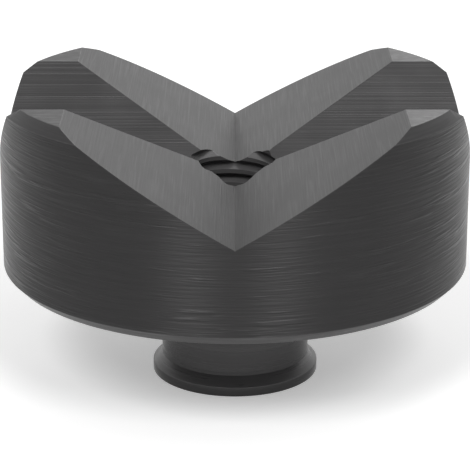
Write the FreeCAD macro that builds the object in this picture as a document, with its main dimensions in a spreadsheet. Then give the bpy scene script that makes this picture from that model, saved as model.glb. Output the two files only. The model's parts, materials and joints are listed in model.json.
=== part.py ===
import FreeCAD, Part
import math
import os

import Sketcher

# A V-block insert for a support jack: a round steel block with two V-grooves milled across its top,
# a wide one along Y and a narrow one along X, a tapped hole where they cross, and an undercut stub
# turned under it. It is one piece. The origin is the centre of the stub's end face, and +Z points up,
# out of the grooves. Lengths are in millimetres and angles in degrees.

NODE = "v_block"

SIZES = [
    ("body_diameter", 50.0, "outside of the round block"),
    ("body_height", 20.0, "block, from its seat up to the flats at its corners"),
    ("top_chamfer", 1.0, "on the block's upper outside edge"),
    ("bottom_chamfer", 1.0, "on the block's lower outside edge"),
    ("wide_groove_angle", 120.0, "between the flanks of the groove along Y"),
    ("wide_groove_depth", 10.0, "from the flats down to the sharp bottom"),
    ("narrow_groove_angle", 90.0, "between the flanks of the groove along X"),
    ("narrow_groove_depth", 10.0, "from the flats down to the sharp bottom"),
    ("stub_length", 12.0, "from the stub's end face up to the block's seat"),
    ("stub_diameter", 18.0, "rim at the stub's end, which fits the jack's bore"),
    ("rim_thickness", 1.0, "straight part of the rim"),
    ("undercut_depth", 1.0, "how far the neck lies inside the rim"),
    ("undercut_angle", 45.0, "slope from the rim in to the neck, against the axis"),
    ("thread_diameter", 10.0, "outside of the tapped thread"),
    ("thread_pitch", 1.5, "of the tapped thread"),
]

CENTRE = (-1, 1)  # how a constraint names the sketch's own centre point
VERTICAL_AXIS = (-2,)  # and its vertical axis
CLOSE = 1e-6  # heights nearer than this are the same
SMALLEST_CUT = 1.0  # cubic millimetres that every cut takes away at least


def add_sheet(doc):
    """The driving dimensions: one row each, with the value under its alias."""
    sheet = doc.addObject("Spreadsheet::Sheet", "sizes")
    for row, (alias, value, meaning) in enumerate(SIZES, start=1):
        sheet.set(f"A{row}", meaning)
        sheet.set(f"B{row}", str(value))
        sheet.setAlias(f"B{row}", alias)
    doc.recompute()
    return sheet


def add_sketch(body, name, role):
    """An empty sketch on the body's own origin plane of that role."""
    sketch = body.newObject("Sketcher::SketchObject", name)
    plane = next(part for part in body.Origin.OriginFeatures if part.Role == role)
    sketch.AttachmentSupport = [(plane, "")]
    sketch.MapMode = "FlatFace"
    return sketch


def start(line):
    """How a constraint names the start point of a line."""
    return line, 1


def end(line):
    """How a constraint names the end point of a line."""
    return line, 2


def middle(circle):
    """How a constraint names the middle of a circle."""
    return circle, 3


def add_outline(sketch, corners):
    """A closed outline of straight lines. Line number i starts at corner number i."""
    points = [FreeCAD.Vector(across, up, 0) for across, up in corners]
    for here, there in zip(points, points[1:] + points[:1]):
        sketch.addGeometry(Part.LineSegment(here, there))
    for line in range(len(points)):
        after = (line + 1) % len(points)
        sketch.addConstraint(Sketcher.Constraint("Coincident", *end(line), *start(after)))


def add_dimension(sketch, name, formula, kind, *ends):
    """A driving dimension, bound to a formula in the sheet's aliases."""
    value = sketch.evalExpression(formula)
    if kind == "Angle":
        value = math.radians(value)
    index = sketch.addConstraint(Sketcher.Constraint(kind, *ends, value))
    sketch.renameConstraint(index, name)
    sketch.setExpression(f"Constraints.{name}", formula)


def turn_blank(body, sheet):
    """The block and its undercut stub, turned from bar: a half-section spun about the axis."""
    stub_radius = sheet.stub_diameter / 2
    neck_radius = stub_radius - sheet.undercut_depth
    body_radius = sheet.body_diameter / 2
    top = sheet.stub_length + sheet.body_height
    sketch = add_sketch(body, "turned_section", "XZ_Plane")
    end_face, rim, slope, neck, seat, side, flat, axis = range(8)
    corners = [
        (0, 0),
        (stub_radius, 0),
        (stub_radius, sheet.rim_thickness),
        (neck_radius, sheet.rim_thickness + sheet.undercut_depth),
        (neck_radius, sheet.stub_length),
        (body_radius, sheet.stub_length),
        (body_radius, top),
        (0, top),
    ]
    add_outline(sketch, corners)
    sketch.addConstraint(Sketcher.Constraint("Coincident", *start(end_face), *CENTRE))
    sketch.addConstraint(Sketcher.Constraint("PointOnObject", *start(axis), *VERTICAL_AXIS))
    for line in (end_face, seat, flat):
        sketch.addConstraint(Sketcher.Constraint("Horizontal", line))
    for line in (rim, neck, side):
        sketch.addConstraint(Sketcher.Constraint("Vertical", line))
    add_dimension(sketch, "stub_radius", "sizes.stub_diameter / 2", "DistanceX", *CENTRE, *start(rim))
    add_dimension(sketch, "rim_thickness", "sizes.rim_thickness", "DistanceY", *start(rim), *end(rim))
    add_dimension(sketch, "undercut_depth", "sizes.undercut_depth", "DistanceX", *end(slope), *start(slope))
    add_dimension(sketch, "undercut_slope", "90 + sizes.undercut_angle", "Angle", slope)
    add_dimension(sketch, "stub_length", "sizes.stub_length", "DistanceY", *CENTRE, *start(seat))
    add_dimension(sketch, "body_radius", "sizes.body_diameter / 2", "DistanceX", *CENTRE, *start(side))
    add_dimension(sketch, "body_height", "sizes.body_height", "DistanceY", *start(side), *end(side))
    blank = body.newObject("PartDesign::Revolution", "turned_blank")
    blank.Profile = sketch
    blank.ReferenceAxis = (sketch, ["V_Axis"])
    return blank


def chamfer_outside(body, name, height, formula):
    """Breaks the outside edge of the block, the largest round edge at that height."""
    body.Document.recompute()
    turned = body.Tip
    circles = [
        (edge.Curve.Radius, f"Edge{number}")
        for number, edge in enumerate(turned.Shape.Edges, start=1)
        if isinstance(edge.Curve, Part.Circle) and abs(edge.CenterOfMass.z - height) < CLOSE
    ]
    _, outside_edge = max(circles)
    chamfer = body.newObject("PartDesign::Chamfer", name)
    chamfer.Base = (turned, [outside_edge])
    chamfer.setExpression("Size", formula)
    return chamfer


def mill_groove(body, sheet, name, role):
    """A sharp V-groove right across the block, drawn on the origin plane that it runs square to."""
    angle = math.radians(sheet.get(f"{name}_angle"))
    depth = sheet.get(f"{name}_depth")
    top = sheet.stub_length + sheet.body_height
    half_width = depth * math.tan(angle / 2)
    sketch = add_sketch(body, f"{name}_section", role)
    right_flank, mouth, left_flank = range(3)
    add_outline(sketch, [(0, top - depth), (half_width, top), (-half_width, top)])
    sketch.addConstraint(Sketcher.Constraint("PointOnObject", *start(right_flank), *VERTICAL_AXIS))
    sketch.addConstraint(Sketcher.Constraint("Symmetric", *start(mouth), *end(mouth), *VERTICAL_AXIS))
    add_dimension(sketch, "depth", f"sizes.{name}_depth", "DistanceY", *start(right_flank), *end(right_flank))
    add_dimension(sketch, "angle", f"sizes.{name}_angle", "Angle", *start(right_flank), *end(left_flank))
    add_dimension(sketch, "top", "sizes.stub_length + sizes.body_height", "DistanceY", *CENTRE, *start(mouth))
    groove = body.newObject("PartDesign::Pocket", name)
    groove.Profile = sketch
    groove.Type = "ThroughAll"
    groove.SideType = "Symmetric"
    return groove


def drill_for_thread(body, sheet):
    """The hole for the thread, right through on the axis. A tapping drill is the thread less its pitch."""
    sketch = add_sketch(body, "thread_centre", "XY_Plane")
    radius = (sheet.thread_diameter - sheet.thread_pitch) / 2
    circle = sketch.addGeometry(Part.Circle(FreeCAD.Vector(), FreeCAD.Vector(0, 0, 1), radius))
    sketch.addConstraint(Sketcher.Constraint("Coincident", *middle(circle), *CENTRE))
    add_dimension(sketch, "radius", "(sizes.thread_diameter - sizes.thread_pitch) / 2", "Radius", circle)
    body.Document.recompute()
    hole = body.newObject("PartDesign::Hole", "thread_hole")
    hole.Profile = sketch
    hole.DepthType = "ThroughAll"
    hole.Reversed = True
    hole.setExpression("Diameter", "sizes.thread_diameter - sizes.thread_pitch")
    return hole


def check(doc, steps):
    """Stops the script if an object failed or a cut took nothing away."""
    for thing in doc.Objects:
        if "Invalid" in thing.State or "Error" in thing.State:
            raise RuntimeError(f"{thing.Name} failed: {thing.State}")
    for before, after in zip(steps, steps[1:]):
        if after.Shape.Volume > before.Shape.Volume - SMALLEST_CUT:
            raise RuntimeError(f"{after.Name} cuts nothing")


def write_step(body):
    """Writes the body's shape to the file that its label names."""
    shape = body.Shape
    if shape.isNull() or not shape.isValid() or len(shape.Solids) != 1:
        raise RuntimeError(f"{body.Label} is not one valid solid")
    os.makedirs("parts", exist_ok=True)
    shape.exportStep(os.path.join("parts", f"{body.Label}.step"))


def main():
    doc = FreeCAD.newDocument("v_block_insert")
    sheet = add_sheet(doc)
    body = doc.addObject("PartDesign::Body", "v_block_body")
    body.Label = NODE
    body.Placement = FreeCAD.Placement()
    seat_height = sheet.stub_length
    flat_height = sheet.stub_length + sheet.body_height
    steps = [
        turn_blank(body, sheet),
        chamfer_outside(body, "bottom_chamfer", seat_height, "sizes.bottom_chamfer"),
        chamfer_outside(body, "top_chamfer", flat_height, "sizes.top_chamfer"),
        mill_groove(body, sheet, "wide_groove", "XZ_Plane"),
        mill_groove(body, sheet, "narrow_groove", "YZ_Plane"),
        drill_for_thread(body, sheet),
    ]
    doc.recompute()
    check(doc, steps)
    write_step(body)


main()
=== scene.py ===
import json
import math

import bmesh
import bpy
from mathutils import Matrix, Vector


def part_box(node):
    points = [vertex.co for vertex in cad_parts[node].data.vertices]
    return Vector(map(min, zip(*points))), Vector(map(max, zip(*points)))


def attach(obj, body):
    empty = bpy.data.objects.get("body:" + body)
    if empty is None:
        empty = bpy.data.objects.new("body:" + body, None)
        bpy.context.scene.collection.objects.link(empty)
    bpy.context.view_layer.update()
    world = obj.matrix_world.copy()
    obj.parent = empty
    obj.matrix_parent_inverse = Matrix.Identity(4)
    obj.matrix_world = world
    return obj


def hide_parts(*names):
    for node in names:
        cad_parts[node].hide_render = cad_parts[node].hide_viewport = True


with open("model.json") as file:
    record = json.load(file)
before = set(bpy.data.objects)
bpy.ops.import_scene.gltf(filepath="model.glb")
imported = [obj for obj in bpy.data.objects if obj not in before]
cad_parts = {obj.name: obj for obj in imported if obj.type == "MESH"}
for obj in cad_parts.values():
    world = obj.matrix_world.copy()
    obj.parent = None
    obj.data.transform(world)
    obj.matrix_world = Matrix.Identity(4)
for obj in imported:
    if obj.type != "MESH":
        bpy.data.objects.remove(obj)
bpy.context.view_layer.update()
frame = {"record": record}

# The looks of a blackened steel V-block insert: a round block with two crossing V-grooves, a tapped
# hole in the middle and an undercut stub. Lengths are in metres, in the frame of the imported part.

MM = 0.001

# ---- sizes, from the frame where it holds them ----

LOW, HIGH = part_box("v_block")
MOUNTS = {mount["name"]: mount for mount in frame["record"]["mounts"]}
BODY_RADIUS = HIGH.x
TOP = HIGH.z
SEAT = MOUNTS["seat"]["pos_m"][2]
RIM_RADIUS = MOUNTS["stub"]["dims"]["r_mm"] * MM
RIM_THICKNESS = MOUNTS["stub"]["dims"]["length_mm"] * MM
CORE_RADIUS = MOUNTS["thread"]["dims"]["r_mm"] * MM
GROOVE_BOTTOM = MOUNTS["thread"]["pos_m"][2]
GROOVE_DEPTH = TOP - GROOVE_BOTTOM
WIDE_NORMAL = Vector(MOUNTS["wide_groove_left"]["axis"])
NARROW_NORMAL = Vector(MOUNTS["narrow_groove_front"]["axis"])
WIDE_HALF_WIDTH = GROOVE_DEPTH * WIDE_NORMAL.z / WIDE_NORMAL.x
NARROW_HALF_WIDTH = GROOVE_DEPTH * NARROW_NORMAL.z / NARROW_NORMAL.y
UNDERCUT = 1.0 * MM
NECK_RADIUS = RIM_RADIUS - UNDERCUT
TOP_CHAMFER = 1.0 * MM
BOTTOM_CHAMFER = 1.0 * MM
EDGE_BREAK = 0.06 * MM
THREAD_PITCH = 1.5 * MM
THREAD_RADIUS = CORE_RADIUS + THREAD_PITCH / 2
THREAD_ROOT_FLAT = THREAD_PITCH / 8
THREAD_SLOPE = math.tan(math.radians(30))
# How far the thread's root lies below the crossing of the grooves on the +X side, as a share of a turn.
THREAD_START = 0.35
THREAD_ROOT_HEIGHT = GROOVE_BOTTOM - THREAD_START * THREAD_PITCH
SPARE_TURNS = 2
WALL_STEPS = 256
THREAD_STEPS = 96
# The groove cutters are this many times as deep and wide as the grooves, and longer than the block.
CUTTER_OVERRUN = 1.6
CUTTER_LENGTH = 2.4 * BODY_RADIUS
# Corners this close together are one corner, and corners this close to the tap's flat ends lie on them.
TOUCHING = 1e-6
THREAD_TOUCHING = 1e-7
END_FLATNESS = 1e-8
# Edges sharper than the first angle are broken, and edges blunter than the second are shaded smooth.
SHARP_EDGE = math.radians(20)
SMOOTH_EDGE = math.radians(30)


# ---- picking things in edit mode ----


def deselect_objects():
    if bpy.context.object and bpy.context.object.mode != "OBJECT":
        bpy.ops.object.mode_set(mode="OBJECT")
    bpy.ops.object.select_all(action="DESELECT")


def only(piece):
    """Makes a piece the only one selected, and the active one."""
    deselect_objects()
    piece.select_set(True)
    bpy.context.view_layer.objects.active = piece


def fresh(name):
    """The piece that an add operator has just made, under its own name."""
    piece = bpy.context.object
    piece.name = name
    piece.data.name = name
    return piece


def pick(piece, kind, wanted):
    """In edit mode, selects just the faces or the edges for which wanted(element) is true."""
    bpy.ops.mesh.select_all(action="DESELECT")
    mesh = bmesh.from_edit_mesh(piece.data)
    mesh.normal_update()
    elements = mesh.faces if kind == "FACE" else mesh.edges
    bpy.ops.mesh.select_mode(type=kind)
    for element in elements:
        if wanted(element):
            element.select_set(True)
    mesh.select_flush_mode()
    bmesh.update_edit_mesh(piece.data)


def faces_down(face):
    straight = 0.9
    return face.normal.z < -straight


def face_outwards(piece):
    """In edit mode, turns every face of a closed piece to point out of it."""
    bpy.ops.mesh.select_all(action="SELECT")
    bpy.ops.mesh.normals_make_consistent(inside=False)
    if bmesh.from_edit_mesh(piece.data).calc_volume(signed=True) < 0:
        bpy.ops.mesh.flip_normals()


# ---- shapes ----


def turn_blank():
    """The block and its stub as they leave the lathe."""
    deselect_objects()
    bpy.ops.mesh.primitive_cylinder_add(
        vertices=WALL_STEPS, radius=BODY_RADIUS, depth=TOP - SEAT, location=(0, 0, (TOP + SEAT) / 2)
    )
    blank = fresh("v_block_body")
    bpy.ops.object.transform_apply(location=True, rotation=True, scale=True)
    bpy.ops.object.mode_set(mode="EDIT")
    pick(blank, "FACE", faces_down)
    step_down(BODY_RADIUS, NECK_RADIUS, 0)
    step_down(NECK_RADIUS, NECK_RADIUS, SEAT - RIM_THICKNESS - UNDERCUT)
    step_down(NECK_RADIUS, RIM_RADIUS, UNDERCUT)
    step_down(RIM_RADIUS, RIM_RADIUS, RIM_THICKNESS)
    bevel_rim(blank, TOP, TOP_CHAMFER)
    bevel_rim(blank, SEAT, BOTTOM_CHAMFER)
    bpy.ops.object.mode_set(mode="OBJECT")
    return blank


def bevel_rim(blank, height, size):
    """Chamfers the outer edge of the block at one height."""

    def on_rim(vert):
        off_rim = abs(math.hypot(vert.co.x, vert.co.y) - BODY_RADIUS)
        return off_rim < TOUCHING and abs(vert.co.z - height) < TOUCHING

    pick(blank, "EDGE", lambda edge: all(on_rim(vert) for vert in edge.verts))
    bpy.ops.mesh.bevel(offset=size, segments=1, affect="EDGES")


def step_down(radius, new_radius, drop):
    """Extrudes the selected round face down by a drop, to a new radius."""
    bpy.ops.mesh.extrude_region_move(TRANSFORM_OT_translate={"value": (0, 0, -drop)})
    share = new_radius / radius
    bpy.ops.transform.resize(value=(share, share, 1), center_override=(0, 0, 0))


def groove_cutter(name, half_width, across):
    """A wedge that mills one groove: sharp edge down, along the other axis than across."""
    height = GROOVE_DEPTH * CUTTER_OVERRUN
    width = 2 * half_width * CUTTER_OVERRUN
    size = Vector((width, CUTTER_LENGTH, height))
    if across == "Y":
        size = Vector((CUTTER_LENGTH, width, height))
    deselect_objects()
    bpy.ops.mesh.primitive_cube_add(size=1, location=(0, 0, GROOVE_BOTTOM + height / 2), scale=size)
    cutter = fresh(name)
    bpy.ops.object.transform_apply(location=True, rotation=True, scale=True)
    bpy.ops.object.mode_set(mode="EDIT")
    pick(cutter, "FACE", faces_down)
    flat = (0, 1, 1) if across == "X" else (1, 0, 1)
    bpy.ops.transform.resize(value=flat, center_override=(0, 0, GROOVE_BOTTOM))
    bpy.ops.mesh.select_all(action="SELECT")
    bpy.ops.mesh.remove_doubles(threshold=TOUCHING)
    face_outwards(cutter)
    bpy.ops.object.mode_set(mode="OBJECT")
    return cutter


def thread_tap():
    """The tap that cuts the thread: one turn's profile, screwed up through the block, with flat ends."""
    flank = (THREAD_RADIUS - CORE_RADIUS) * THREAD_SLOPE
    land = (THREAD_PITCH - THREAD_ROOT_FLAT - 2 * flank) / 2
    turns = math.ceil((TOP - LOW.z) / THREAD_PITCH) + 2 * SPARE_TURNS
    lowest_root = THREAD_ROOT_HEIGHT - math.ceil(THREAD_ROOT_HEIGHT / THREAD_PITCH) * THREAD_PITCH
    start = Vector((CORE_RADIUS, 0, lowest_root - (SPARE_TURNS + 0.5) * THREAD_PITCH))
    steps = [
        (0, land),
        (THREAD_RADIUS - CORE_RADIUS, flank),
        (0, THREAD_ROOT_FLAT),
        (CORE_RADIUS - THREAD_RADIUS, flank),
        (0, land),
    ]
    deselect_objects()
    bpy.ops.mesh.primitive_plane_add(size=MM, location=start)
    tap = fresh("thread_tap")
    bpy.ops.object.transform_apply(location=True, rotation=True, scale=True)
    bpy.ops.object.mode_set(mode="EDIT")
    bpy.ops.mesh.select_mode(type="VERT")
    bpy.ops.mesh.select_all(action="SELECT")
    bpy.ops.mesh.merge(type="CENTER")
    for out, up in steps:
        bpy.ops.mesh.extrude_vertices_move(TRANSFORM_OT_translate={"value": (out, 0, up)})
    bpy.ops.object.mode_set(mode="OBJECT")
    screw = tap.modifiers.new("turns", "SCREW")
    screw.axis = "Z"
    screw.angle = math.tau
    screw.screw_offset = THREAD_PITCH
    screw.iterations = turns
    screw.steps = THREAD_STEPS
    screw.render_steps = THREAD_STEPS
    bpy.ops.object.modifier_apply(modifier=screw.name)
    bpy.ops.object.mode_set(mode="EDIT")
    bpy.ops.mesh.select_all(action="SELECT")
    bpy.ops.mesh.remove_doubles(threshold=THREAD_TOUCHING)
    for height, side in ((LOW.z - THREAD_PITCH, -1), (TOP, 1)):
        bpy.ops.mesh.select_all(action="SELECT")
        bpy.ops.mesh.bisect(
            plane_co=(0, 0, height),
            plane_no=(0, 0, side),
            use_fill=True,
            clear_outer=True,
            threshold=END_FLATNESS,
        )
    face_outwards(tap)
    bpy.ops.object.mode_set(mode="OBJECT")
    return tap


def cut(piece, cutter):
    """Takes the cutter out of the piece, clears it away, and tidies the slivers that the cut leaves."""
    only(piece)
    boolean = piece.modifiers.new("cut", "BOOLEAN")
    boolean.operation = "DIFFERENCE"
    boolean.solver = "EXACT"
    boolean.object = cutter
    bpy.ops.object.modifier_apply(modifier=boolean.name)
    bpy.data.objects.remove(cutter)
    bpy.ops.object.mode_set(mode="EDIT")
    bpy.ops.mesh.select_all(action="SELECT")
    bpy.ops.mesh.dissolve_degenerate(threshold=TOUCHING)
    bpy.ops.object.mode_set(mode="OBJECT")


def break_edges(piece):
    """A small rounding on every outside edge, as left by a deburring brush."""
    only(piece)
    bpy.ops.object.mode_set(mode="EDIT")
    pick(piece, "EDGE", lambda edge: edge.is_convex and edge.calc_face_angle(0) > SHARP_EDGE)
    bpy.ops.mesh.bevel(offset=EDGE_BREAK, segments=2, affect="EDGES", clamp_overlap=False)
    bpy.ops.object.mode_set(mode="OBJECT")


def shade(piece):
    """Smooth shading within each surface, with the large faces left flat beside their rounded edges."""
    only(piece)
    bpy.ops.object.shade_smooth_by_angle(angle=SMOOTH_EDGE)
    weighted = piece.modifiers.new("even_faces", "WEIGHTED_NORMAL")
    weighted.keep_sharp = True
    bpy.ops.object.modifier_apply(modifier=weighted.name)


def v_block():
    """The block: turned, milled with its two grooves, deburred, and tapped."""
    body = turn_blank()
    cut(body, groove_cutter("wide_groove_cutter", WIDE_HALF_WIDTH, "X"))
    cut(body, groove_cutter("narrow_groove_cutter", NARROW_HALF_WIDTH, "Y"))
    break_edges(body)
    cut(body, thread_tap())
    return body


# ---- finishes ----

CLOUDS = 180.0
STEEL_TINT = (1.008, 0.99, 1.002)
SCRATCH_SEED = 7.0
FAINTEST_SCRATCH = 0.55
CLEAREST_SCRATCH = 0.72
# The shares of grain, scratches and clouds in the height of the marks, and in their tone.
GRAIN_HEIGHT = 0.6
SCRATCH_HEIGHT = 0.4
GRAIN_TONE = 0.5
SCRATCH_TONE = 0.25
CLOUD_TONE = 0.25
# The steel is darkest and dullest where that tone is DARK_TONE or less, and lightest and glossiest where
# it is LIGHT_TONE or more.
DARK_TONE = 0.25
LIGHT_TONE = 0.6
GLOSS_SPREAD = 0.04


def node(tree, kind, inputs=None, **settings):
    """Adds a shader node, with its settings and its inputs, each a value or another node's output."""
    made = tree.nodes.new(kind)
    for name, value in settings.items():
        setattr(made, name, value)
    for name, value in (inputs or {}).items():
        if isinstance(value, bpy.types.NodeSocket):
            tree.links.new(value, made.inputs[name])
        else:
            made.inputs[name].default_value = value
    return made


def sum_of(tree, parts):
    """Adds up outputs, each with its share."""
    total = None
    for share, part in parts:
        term = node(tree, "ShaderNodeMath", {0: part, 1: share}, operation="MULTIPLY").outputs[0]
        total = term if total is None else node(tree, "ShaderNodeMath", {0: total, 1: term}).outputs[0]
    return total


def marks(tree, place, per_metre, seed=0.0):
    """Noise drawn out into tool marks: how many there are to the metre along each axis."""
    mapping = node(
        tree, "ShaderNodeMapping", {"Vector": place, "Location": (seed, seed, seed), "Scale": per_metre}
    )
    inputs = {"Vector": mapping.outputs[0], "Scale": 1.0, "Detail": 2.0, "Roughness": 0.5}
    return node(tree, "ShaderNodeTexNoise", inputs).outputs[0]


def between(tree, value, low, high, new_low=0.0, new_high=1.0):
    """Spreads the part of a value from low to high over a new range, and holds it there beyond."""
    inputs = {"Value": value, "From Min": low, "From Max": high, "To Min": new_low, "To Max": new_high}
    return node(tree, "ShaderNodeMapRange", inputs, interpolation_type="SMOOTHSTEP").outputs[0]


def ring_place(tree, place):
    """A place whose first number is the distance from the axis, for marks in rings on a flat face."""
    parts = node(tree, "ShaderNodeSeparateXYZ", {0: place}).outputs
    flat = node(tree, "ShaderNodeCombineXYZ", {0: parts[0], 1: parts[1]}).outputs[0]
    distance = node(tree, "ShaderNodeVectorMath", {0: flat}, operation="LENGTH").outputs["Value"]
    return node(tree, "ShaderNodeCombineXYZ", {0: distance, 1: parts[0], 2: parts[1]}).outputs[0]


def machined_steel(name, look):
    """Blackened steel as one tool leaves it: fine grain, and scratches here and there along its path."""
    material = bpy.data.materials.new(name)
    material.use_nodes = True
    tree = material.node_tree
    tree.nodes.clear()
    place = node(tree, "ShaderNodeTexCoord").outputs["Object"]
    cloud = marks(tree, place, (CLOUDS, CLOUDS, CLOUDS))
    path = ring_place(tree, place) if look.rings else place
    grain = marks(tree, path, look.grain)
    streaks = marks(tree, path, look.scratches, seed=SCRATCH_SEED)
    scratches = between(tree, streaks, FAINTEST_SCRATCH, CLEAREST_SCRATCH)
    height = sum_of(tree, ((GRAIN_HEIGHT, grain), (SCRATCH_HEIGHT, scratches)))
    tone = sum_of(tree, ((GRAIN_TONE, grain), (SCRATCH_TONE, scratches), (CLOUD_TONE, cloud)))
    colour = node(tree, "ShaderNodeValToRGB", {0: between(tree, tone, DARK_TONE, LIGHT_TONE)})
    dark, light = colour.color_ramp.elements
    dark.color = [look.shade * (1 - look.contrast) * part for part in STEEL_TINT] + [1]
    light.color = [look.shade * (1 + look.contrast) * part for part in STEEL_TINT] + [1]
    dull = look.roughness + GLOSS_SPREAD
    glossy = look.roughness - GLOSS_SPREAD
    gloss = between(tree, tone, DARK_TONE, LIGHT_TONE, dull, glossy)
    bump = node(tree, "ShaderNodeBump", {"Height": height, "Strength": 1.0, "Distance": look.depth})
    steel = node(
        tree,
        "ShaderNodeBsdfPrincipled",
        {
            "Base Color": colour.outputs[0],
            "Roughness": gloss,
            "Normal": bump.outputs[0],
            "Metallic": look.metallic,
            "Anisotropic": look.brushed,
            "Specular Tint": (look.edge_tint, look.edge_tint, look.edge_tint, 1),
        },
    )
    if look.rings:
        tree.links.new(path_across_rings(tree, place), steel.inputs["Tangent"])
    elif look.brushed:
        across = node(tree, "ShaderNodeCombineXYZ", dict(enumerate(look.across)))
        tree.links.new(across.outputs[0], steel.inputs["Tangent"])
    node(tree, "ShaderNodeOutputMaterial", {"Surface": steel.outputs[0]})
    return material


def path_across_rings(tree, place):
    """The direction straight out from the axis, across marks that run in rings."""
    parts = node(tree, "ShaderNodeSeparateXYZ", {0: place}).outputs
    return node(tree, "ShaderNodeCombineXYZ", {0: parts[0], 1: parts[1]}).outputs[0]


class Look:
    """How a kind of surface looks.

    The shade is the steel's own colour, but on the stub, the undercut and the thread it is lightened as
    painted light. The depth is that of the marks. The grain and scratches are counted to the metre along
    each axis, and across is the direction straight across them. In rings, both run round the axis, and the
    counts are outward, then along X and Y. edge_tint dims what the metal reflects at a grazing angle.
    """

    def __init__(self, grain, scratches, across=(0, 0, 1), **changes):
        self.grain = grain
        self.scratches = scratches
        self.across = across
        self.rings = False
        self.shade = 0.05
        self.contrast = 0.12
        self.roughness = 0.34
        self.brushed = 0.6
        self.metallic = 0.85
        self.depth = 0.02 * MM
        self.edge_tint = 0.88
        for name, value in changes.items():
            setattr(self, name, value)


ROUND_SCRATCHES = (110, 110, 1600)
CHAMFER_GRAIN = (120, 120, 5000)
STUB_GRAIN = (60, 60, 5000)
STUB_SCRATCHES = (40, 40, 1200)
FLANK_GRAIN = (9000, 120, 0)
FLANK_SCRATCHES = (4500, 80, 0)
LOOKS = {
    "turned_wall": Look(
        (150, 150, 4000),
        ROUND_SCRATCHES,
        shade=0.04,
        contrast=0.02,
        depth=0.2 * MM,
        roughness=0.42,
        brushed=0.95,
        edge_tint=0.92,
    ),
    "turned_top_chamfer": Look(CHAMFER_GRAIN, ROUND_SCRATCHES),
    "turned_lower_chamfer": Look(CHAMFER_GRAIN, ROUND_SCRATCHES),
    # Painted light: the stub's steel is a little lighter and more diffuse than the block's, to make up for
    # the shade under the block.
    "turned_stub_painted_light": Look(STUB_GRAIN, STUB_SCRATCHES, shade=0.055, contrast=0.06, roughness=0.28, metallic=0.5),
    # Painted light: the undercut cone under the block is given a much lighter, duller steel, to lift it out
    # of the block's shadow.
    "turned_undercut_painted_light": Look(
        STUB_GRAIN, STUB_SCRATCHES, shade=0.09, contrast=0.06, roughness=0.28, metallic=0.2
    ),
    "faced_ring": Look((4000, 50, 50), (1200, 40, 40), rings=True, shade=0.07),
    "milled_left_flank": Look(FLANK_GRAIN, FLANK_SCRATCHES, (1, 0, 0), contrast=0.1, edge_tint=0.76),
    "milled_right_flank": Look(
        FLANK_GRAIN, FLANK_SCRATCHES, (1, 0, 0), contrast=0.03, depth=0.01 * MM, edge_tint=0.76
    ),
    "milled_narrow_flank": Look((25, 16000, 0), (15, 9000, 0), (0, 1, 0), contrast=0.3),
    "ground_flat": Look((900, 900, 900), (300, 2500, 300), contrast=0.06, brushed=0),
    # Painted light: the thread is a lighter, duller steel than the block, to lift the shade deep in the
    # tapped hole.
    "cut_thread_painted_light": Look((300, 300, 6000), (200, 200, 2500), shade=0.1, roughness=0.3, brushed=0, metallic=0.3),
    "brushed_edge": Look((1200, 1200, 1200), (400, 400, 400), shade=0.06, brushed=0),
}


def surface_at(centre, normal):
    """The kind of surface that a face of the block belongs to, by its place and the way it faces."""
    near = 0.9999
    close = 0.02 * MM
    upward_slope = 0.5
    radius = math.hypot(centre.x, centre.y)
    outward = (centre.x * normal.x + centre.y * normal.y) / radius if radius else 0
    if normal.z < -near and (centre.z < LOW.z + close or abs(centre.z - SEAT) < close):
        return "faced_ring"
    if radius < THREAD_RADIUS + close:
        return "cut_thread_painted_light"
    if centre.z < SEAT - close:
        return "turned_undercut_painted_light" if normal.z > upward_slope else "turned_stub_painted_light"
    if normal.z > near and centre.z > TOP - close:
        return "ground_flat"
    if abs(abs(normal.x) - WIDE_NORMAL.x) < 1 - near and abs(normal.z - WIDE_NORMAL.z) < 1 - near:
        return "milled_left_flank" if normal.x > 0 else "milled_right_flank"
    if abs(abs(normal.y) - NARROW_NORMAL.y) < 1 - near and abs(normal.z - NARROW_NORMAL.z) < 1 - near:
        return "milled_narrow_flank"
    if outward > near:
        return "turned_wall"
    if abs(abs(normal.z) - outward) < 1 - near:
        return "turned_top_chamfer" if normal.z > 0 else "turned_lower_chamfer"
    return "brushed_edge"


def finish_surfaces(piece):
    """Gives each face of the block the finish of its surface."""
    slots = {name: index for index, name in enumerate(LOOKS)}
    piece.data.materials.clear()
    for name, look in LOOKS.items():
        piece.data.materials.append(machined_steel(name, look))
    for face in piece.data.polygons:
        face.material_index = slots[surface_at(face.center, face.normal)]


# ---- stage ----

AIM_HEIGHT = 15.17 * MM
ELEVATION = math.radians(18.725)
CAMERA_DISTANCE = 228.2 * MM
LENS = 161.25
STUDIO_LIGHT = 0.3
FLOOR_SIZE = 3.0
FLOOR_PAINT = 0.95
FLOOR_LIFT = 0.355
LAMP_TURN = math.radians(25)
LAMP_ELEVATION = math.radians(45)
LAMP_SPREAD = math.radians(20)


def aim(thing, place, target):
    thing.location = place
    thing.rotation_euler = (Vector(target) - Vector(place)).to_track_quat("-Z", "Y").to_euler()


def add_camera():
    deselect_objects()
    bpy.ops.object.camera_add()
    camera = bpy.context.object
    camera.name = "camera"
    camera.data.lens = LENS
    camera.data.clip_start = MM
    target = Vector((0, 0, AIM_HEIGHT))
    away = Vector((0, -math.cos(ELEVATION), math.sin(ELEVATION)))
    aim(camera, target + CAMERA_DISTANCE * away, target)
    bpy.context.scene.camera = camera


def add_softbox(name, direction, distance, size, brightness):
    """A lamp aimed at the block. brightness is what it shows in a mirror, where white paper shows 1."""
    deselect_objects()
    bpy.ops.object.light_add(type="AREA")
    lamp = bpy.context.object
    lamp.name = name
    lamp.data.shape = "RECTANGLE"
    lamp.data.size, lamp.data.size_y = size
    lamp.data.energy = brightness * math.pi * size[0] * size[1]
    lamp.visible_camera = False
    target = Vector((0, 0, SEAT))
    aim(lamp, target + distance * Vector(direction).normalized(), target)


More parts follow.
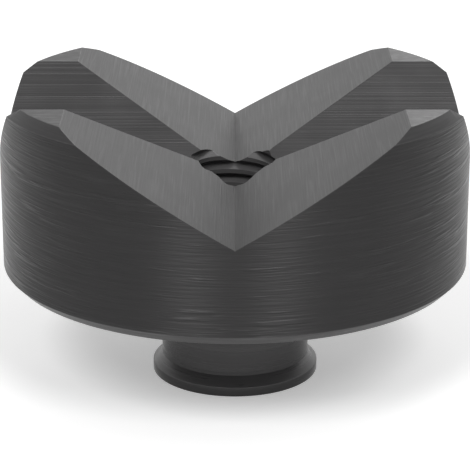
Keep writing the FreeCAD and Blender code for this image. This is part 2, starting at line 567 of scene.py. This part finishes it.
def add_distant_lamp(name, side, strength):
    """A large soft lamp far off in front of the block, to one side of it, that lights the floor evenly."""
    deselect_objects()
    bpy.ops.object.light_add(type="SUN")
    lamp = bpy.context.object
    lamp.name = name
    lamp.data.angle = LAMP_SPREAD
    lamp.data.energy = strength
    across, along = math.sin(LAMP_TURN), math.cos(LAMP_TURN)
    aim(lamp, Vector((side * across, -along, math.tan(LAMP_ELEVATION))), Vector((0, 0, 0)))


def backdrop_rays(tree):
    """1 for the rays that look at the backdrop, from the camera or by way of metal or glass, else 0."""
    rays = node(tree, "ShaderNodeLightPath").outputs
    reflected = {0: rays["Is Glossy Ray"], 1: rays["Is Transmission Ray"]}
    shiny = node(tree, "ShaderNodeMath", reflected, operation="MAXIMUM")
    both = node(tree, "ShaderNodeMath", {0: rays["Is Camera Ray"], 1: shiny.outputs[0]}, operation="MAXIMUM")
    return both.outputs[0]


def add_world():
    """Even studio light from all round, and a plain white backdrop."""
    world = bpy.data.worlds.new("studio")
    bpy.context.scene.world = world
    world.use_nodes = True
    tree = world.node_tree
    tree.nodes.clear()
    light = node(tree, "ShaderNodeBackground", {"Color": (1, 1, 1, 1), "Strength": STUDIO_LIGHT})
    white = node(tree, "ShaderNodeBackground", {"Color": (1, 1, 1, 1), "Strength": 1.0})
    seen = node(
        tree, "ShaderNodeMixShader", {0: backdrop_rays(tree), 1: light.outputs[0], 2: white.outputs[0]}
    )
    node(tree, "ShaderNodeOutputWorld", {"Surface": seen.outputs[0]})


def add_floor():
    """A pale floor, lifted to white where the camera or a reflection sees it, which keeps its shadow."""
    deselect_objects()
    bpy.ops.mesh.primitive_plane_add(size=FLOOR_SIZE, location=(0, 0, LOW.z))
    floor = fresh("floor")
    bpy.ops.object.transform_apply(location=True, rotation=True, scale=True)
    material = bpy.data.materials.new("pale_floor")
    material.use_nodes = True
    tree = material.node_tree
    tree.nodes.clear()
    paint = node(tree, "ShaderNodeBsdfDiffuse", {"Color": (FLOOR_PAINT, FLOOR_PAINT, FLOOR_PAINT, 1)})
    lift = node(tree, "ShaderNodeEmission", {"Strength": FLOOR_LIFT})
    lifted = node(tree, "ShaderNodeAddShader", {0: paint.outputs[0], 1: lift.outputs[0]})
    seen = node(
        tree, "ShaderNodeMixShader", {0: backdrop_rays(tree), 1: paint.outputs[0], 2: lifted.outputs[0]}
    )
    node(tree, "ShaderNodeOutputMaterial", {"Surface": seen.outputs[0]})
    floor.data.materials.append(material)


body = v_block()
shade(body)
finish_surfaces(body)
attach(body, "root")
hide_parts("v_block")

add_camera()
add_world()
add_floor()
add_softbox("overhead_softbox", direction=(0.2, -0.2, 0.66), distance=0.72, size=(0.4, 0.4), brightness=0.8)
add_softbox("back_softbox", direction=(0.18, 0.85, 0.5), distance=0.9, size=(0.25, 0.25), brightness=3.0)
add_distant_lamp("front_left_lamp", side=-1, strength=1.12)
add_distant_lamp("front_right_lamp", side=1, strength=0.98)
bpy.context.scene.view_settings.view_transform = "Standard"
